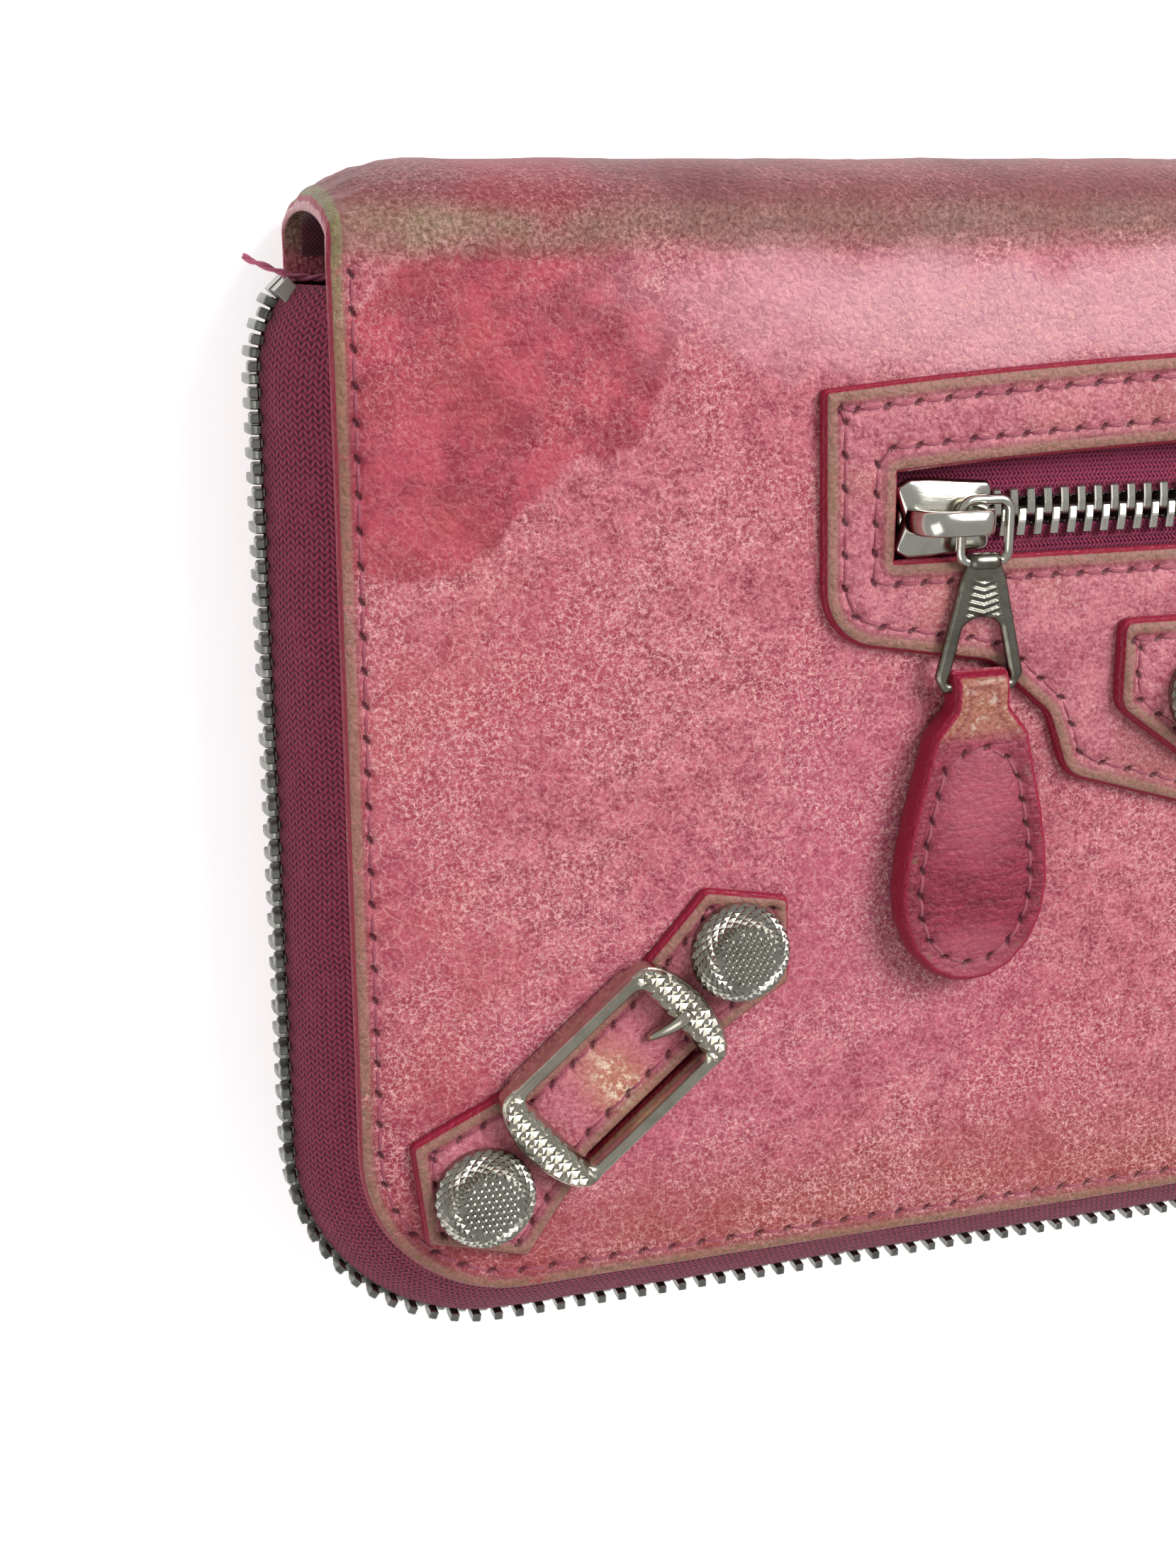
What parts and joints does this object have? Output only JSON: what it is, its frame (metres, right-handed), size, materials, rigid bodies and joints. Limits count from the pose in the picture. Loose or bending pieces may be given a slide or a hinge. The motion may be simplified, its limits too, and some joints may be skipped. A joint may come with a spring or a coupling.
{
  "type": "long wallet",
  "caption": "Leather long wallet that zips round three sides, with a zip pocket, buckled corner straps, studs, card panels and a hinged coin pocket.",
  "frame": {"origin": "middle of the back cover's outer face, which the closed wallet rests on", "axes": "+X along the spine to the main slider's side, +Y to the spine, +Z out of the front cover"},
  "size_m": [0.206, 0.1083, 0.0281],
  "materials": {
    "cover_leather": "aged, crackled, hand-stained",
    "trim_leather": "aged, worn tan at the edges",
    "pull_leather": "waxed, painted edges",
    "card_leather": "smooth, semi-matte",
    "bonded_board": "bonded leather board, raw",
    "lining_cloth": "plain weave",
    "zip_cloth": "knitted zip tape",
    "main_zip_metal": "dark nickel, worn bright on the edges",
    "small_zip_metal": "nickel",
    "slider_metal": "polished nickel",
    "pull_metal": "antique nickel",
    "buckle_metal": "polished nickel, textured ends",
    "stud_metal": "faceted, antique nickel",
    "washer_metal": "plain"
  },
  "bodies": {
    "back": {"back_cover": "cover_leather", "spine": "cover_leather", "spine_lining": "lining_cloth", "back_board": "bonded_board", "back_lining": "lining_cloth", "back_tape": "zip_cloth", "back_teeth": "main_zip_metal", "back_stops": "main_zip_metal", "back_card_backing": "card_leather", "back_card_leaf_1": "card_leather", "back_card_leaf_2": "card_leather", "back_card_leaf_3": "card_leather", "left_gusset": "card_leather", "right_gusset": "card_leather"},
    "front": {"front_cover": "cover_leather", "front_board": "bonded_board", "front_lining": "lining_cloth", "front_tape": "zip_cloth", "front_teeth": "main_zip_metal", "front_stops": "main_zip_metal", "front_card_backing": "card_leather", "front_card_leaf_1": "card_leather", "front_card_leaf_2": "card_leather", "front_card_leaf_3": "card_leather", "pocket_surround": "trim_leather", "pocket_tape_upper": "zip_cloth", "pocket_tape_lower": "zip_cloth", "pocket_teeth_upper": "small_zip_metal", "pocket_teeth_lower": "small_zip_metal", "pocket_stop": "small_zip_metal", "pocket_bag": "lining_cloth", "centre_tab": "trim_leather", "centre_tab_studs": "stud_metal", "stud_washers": "washer_metal", "left_strap": "trim_leather", "right_strap": "trim_leather", "left_buckle": "buckle_metal", "right_buckle": "buckle_metal", "left_strap_studs": "stud_metal", "right_strap_studs": "stud_metal"},
    "coin_page": {"coin_back_panel": "lining_cloth", "coin_front_panel": "lining_cloth", "coin_rim": "lining_cloth", "coin_tape_upper": "zip_cloth", "coin_tape_lower": "zip_cloth", "coin_teeth_upper": "small_zip_metal", "coin_teeth_lower": "small_zip_metal"},
    "coin_slider": {"coin_slider": "slider_metal"},
    "coin_pull": {"coin_pull": "slider_metal"},
    "main_slider": {"main_slider": "slider_metal"},
    "main_pull_ring": {"main_pull_ring": "slider_metal"},
    "main_pull": {"main_pull": "pull_metal"},
    "main_pull_leather": {"main_pull_leather": "pull_leather"},
    "pocket_slider": {"pocket_slider": "slider_metal"},
    "pocket_pull_ring": {"pocket_pull_ring": "slider_metal"},
    "pocket_pull": {"pocket_pull": "pull_metal"},
    "pocket_pull_leather": {"pocket_pull_leather": "pull_leather"},
    "left_prong": {"left_prong": "buckle_metal"},
    "right_prong": {"right_prong": "buckle_metal"}
  },
  "joints": [
    {"name": "front_opening", "type": "hinge", "parent": "back", "child": "front", "pos_m": [0, 0.044, 0.011], "axis": [-1, 0, 0], "range_deg": [0, 75], "deforming": ["spine", "spine_lining", "left_gusset", "right_gusset"]},
    {"name": "coin_page_opening", "type": "hinge", "parent": "back", "child": "coin_page", "pos_m": [0, 0.044, 0.011], "axis": [-1, 0, 0], "range_deg": [0, 37.5]},
    {"name": "main_slide", "type": "slide", "parent": "back", "child": "main_slider", "axis": [0, -1, 0], "range_m": [0, 0.062], "deforming": ["back_teeth", "front_teeth"]},
    {"name": "main_ring_swing", "type": "hinge", "parent": "main_slider", "child": "main_pull_ring", "pos_m": [0.10295, 0.029, 0.011], "axis": [0, 0, 1], "range_deg": [0, 90]},
    {"name": "main_pull_swing", "type": "hinge", "parent": "main_pull_ring", "child": "main_pull", "pos_m": [0.10295, 0.0235, 0.011], "axis": [0, 0, 1], "range_deg": [0, 60]},
    {"name": "main_leather_swing", "type": "hinge", "parent": "main_pull", "child": "main_pull_leather", "pos_m": [0.10295, 0.0122, 0.011], "axis": [0, 0, 1], "range_deg": [0, 45]},
    {"name": "pocket_slide", "type": "slide", "parent": "front", "child": "pocket_slider", "axis": [1, 0, 0], "range_m": [0, 0.078], "deforming": ["pocket_teeth_upper", "pocket_teeth_lower"]},
    {"name": "pocket_ring_swing", "type": "hinge", "parent": "pocket_slider", "child": "pocket_pull_ring", "pos_m": [-0.0377, 0.021, 0.02405], "axis": [-1, 0, 0], "range_deg": [0, 20]},
    {"name": "pocket_pull_swing", "type": "hinge", "parent": "pocket_pull_ring", "child": "pocket_pull", "pos_m": [-0.0377, 0.0155, 0.02405], "axis": [-1, 0, 0], "range_deg": [0, 114]},
    {"name": "pocket_leather_swing", "type": "hinge", "parent": "pocket_pull", "child": "pocket_pull_leather", "pos_m": [-0.0377, 0.0042, 0.02405], "axis": [-1, 0, 0], "range_deg": [0, 45]},
    {"name": "coin_slide", "type": "slide", "parent": "coin_page", "child": "coin_slider", "axis": [-1, 0, 0], "range_m": [0, 0.144], "deforming": ["coin_teeth_upper", "coin_teeth_lower"]},
    {"name": "coin_pull_swivel", "type": "hinge", "parent": "coin_slider", "child": "coin_pull", "pos_m": [0.0687, -0.033, 0.0129], "axis": [0, 0, 1], "range_deg": [-60, 60]},
    {"name": "left_prong_lift", "type": "hinge", "parent": "front", "child": "left_prong", "pos_m": [-0.06569, -0.02334, 0.02465], "axis": [-0.6508, 0.7593, 0], "range_deg": [0, 80]},
    {"name": "right_prong_lift", "type": "hinge", "parent": "front", "child": "right_prong", "pos_m": [0.06569, -0.02334, 0.02465], "axis": [-0.6508, -0.7593, 0], "range_deg": [0, 80]}
  ],
  "couplings": [
    {"joint": "coin_page_opening", "follows": "front_opening", "ratio": 0.5},
    {"joint": "pocket_pull_swing", "follows": "pocket_slide", "rad_per_m": 25.4}
  ]
}
